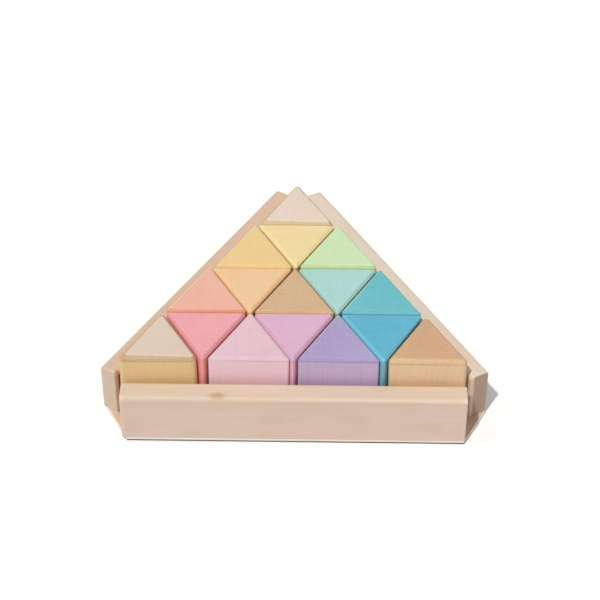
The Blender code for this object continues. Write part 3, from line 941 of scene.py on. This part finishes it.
class TRAY_OT_finish_screws(bpy.types.Operator):
    """Gives the screws their plated steel"""

    bl_idname = "block_tray.finish_screws"
    bl_label = "Finish screws"

    def execute(self, context):
        steel = steel_material()
        for name in SCREWS:
            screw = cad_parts[name]
            screw.data.materials.clear()
            screw.data.materials.append(steel)
        return {"FINISHED"}


FLOOR_SIZE = 12.0
FLOOR_DROP = 0.0003  # floor below the underside of the board
FLOOR_SEEN = 0.985  # brightness of the floor's white in the picture
FLOOR_GLOW = 0.02  # what it shines by itself there
FLOOR_THROWN = 0.58  # brightness of the floor for the light that it throws back at the tray
SENSOR_WIDTH = 36.0  # millimetres, like the lens
FAR_LIMIT = 50.0  # farthest that the camera sees
SUN_TRAVEL = Vector((0.48, 0.85, -1.65))  # way that the key light runs, from the front left
SUN_ANGLE = math.radians(2.5)


def grey(brightness):
    return (brightness, brightness, brightness, 1.0)


def seen_rays(tree):
    """1 for rays that make up the picture: those from the camera, and those mirrored or let through."""
    path = tree.add("ShaderNodeLightPath").outputs
    direct = tree.math("MAXIMUM", path["Is Camera Ray"], path["Is Glossy Ray"])
    return tree.math("MAXIMUM", direct, path["Is Transmission Ray"])


def floor_material():
    """White floor that keeps the shadow, and that throws less light back at the tray than the camera sees."""
    material, tree, shader = new_material("floor_white")
    material.node_tree.nodes.remove(shader)
    dim = tree.add("ShaderNodeBsdfDiffuse", {"Color": grey(FLOOR_THROWN)})
    white = tree.add("ShaderNodeBsdfDiffuse", {"Color": grey(FLOOR_SEEN)})
    glow = tree.add("ShaderNodeEmission", {"Color": grey(1.0), "Strength": FLOOR_GLOW})
    seen = tree.add("ShaderNodeAddShader", {0: white.outputs[0], 1: glow.outputs[0]})
    mixed = tree.add("ShaderNodeMixShader", {0: seen_rays(tree), 1: dim.outputs[0], 2: seen.outputs[0]})
    output = next(node for node in material.node_tree.nodes if node.type == "OUTPUT_MATERIAL")
    tree.feed(output.inputs["Surface"], mixed.outputs[0])
    return material


def add_floor():
    half = FLOOR_SIZE / 2
    mesh = bpy.data.meshes.new("floor")
    points = [(x, y, -FLOOR_DROP) for x, y in ((-half, -half), (half, -half), (half, half), (-half, half))]
    mesh.from_pydata(points, [], [(0, 1, 2, 3)])
    mesh.materials.append(floor_material())
    floor = bpy.data.objects.new("floor", mesh)
    bpy.context.scene.collection.objects.link(floor)


def add_lights(settings):
    lamp = bpy.data.lights.new("key_sun", "SUN")
    lamp.energy = settings.sun
    lamp.angle = SUN_ANGLE
    sun = bpy.data.objects.new("key_sun", lamp)
    sun.rotation_euler = SUN_TRAVEL.to_track_quat("-Z", "Y").to_euler()
    bpy.context.scene.collection.objects.link(sun)
    world = bpy.data.worlds.new("studio")
    world.use_nodes = True
    tree = Tree(world.node_tree)
    fill = world.node_tree.nodes["Background"]
    fill.inputs["Color"].default_value = grey(1.0)
    strength = tree.math("MULTIPLY_ADD", seen_rays(tree), 1.0 - settings.fill, settings.fill)
    tree.feed(fill.inputs["Strength"], strength)
    bpy.context.scene.world = world


def add_camera(settings):
    elevation, azimuth = settings.elevation, settings.azimuth
    back = Vector((math.sin(azimuth) * math.cos(elevation), -math.cos(azimuth) * math.cos(elevation),
                   math.sin(elevation)))
    data = bpy.data.cameras.new("camera")
    data.lens = settings.lens
    data.sensor_width = SENSOR_WIDTH
    data.clip_end = FAR_LIMIT
    camera = bpy.data.objects.new("camera", data)
    level = back.to_track_quat("Z", "Y")
    camera.matrix_world = (
        Matrix.Translation(Vector(settings.target) + settings.distance * back)
        @ level.to_matrix().to_4x4() @ Matrix.Rotation(settings.roll, 4, "Z"))
    bpy.context.scene.collection.objects.link(camera)
    bpy.context.scene.camera = camera


class TRAY_OT_add_stage(bpy.types.Operator):
    """Adds the white floor, the light and the camera"""

    bl_idname = "block_tray.add_stage"
    bl_label = "Add stage"

    def execute(self, context):
        settings = context.scene.tray_stage
        add_floor()
        add_lights(settings)
        add_camera(settings)
        context.scene.view_settings.view_transform = "Standard"
        return {"FINISHED"}


STEPS = (
    TRAY_OT_add_blocks,
    TRAY_OT_add_rails,
    TRAY_OT_finish_board,
    TRAY_OT_finish_screws,
    TRAY_OT_add_stage,
)


class TRAY_PT_panel(bpy.types.Panel):
    """Steps and settings of the block tray"""

    bl_label = "Block tray"
    bl_idname = "TRAY_PT_panel"
    bl_space_type = "VIEW_3D"
    bl_region_type = "UI"
    bl_category = "Block tray"

    def draw(self, context):
        for step in STEPS:
            self.layout.operator(step.bl_idname)
        for owner in GROUPS:
            box = self.layout.box()
            settings = getattr(context.scene, owner)
            for name in GROUPS[owner].__annotations__:
                box.prop(settings, name)


GROUPS = {
    "tray_end_colours": EndColours,
    "tray_rim_colours": RimColours,
    "tray_side_colours": SideColours,
    "tray_rail_faces": RailFaceColours,
    "tray_rail_tops": RailTopColours,
    "tray_rail_ends": RailEndColours,
    "tray_rail_edges": RailEdgeLightColours,
    "tray_blocks": BlockSettings,
    "tray_tray": TraySettings,
    "tray_stage": StageSettings,
}
CLASSES = (*GROUPS.values(), *STEPS, TRAY_PT_panel)


def register():
    for each in CLASSES:
        bpy.utils.register_class(each)
    for owner, group in GROUPS.items():
        setattr(bpy.types.Scene, owner, bpy.props.PointerProperty(type=group))


def unregister():
    for owner in GROUPS:
        delattr(bpy.types.Scene, owner)
    for each in reversed(CLASSES):
        bpy.utils.unregister_class(each)


def main():
    register()
    bpy.ops.block_tray.add_blocks()
    bpy.ops.block_tray.add_rails()
    bpy.ops.block_tray.finish_board()
    bpy.ops.block_tray.finish_screws()
    bpy.ops.block_tray.add_stage()


if __name__ == "__main__":
    main()
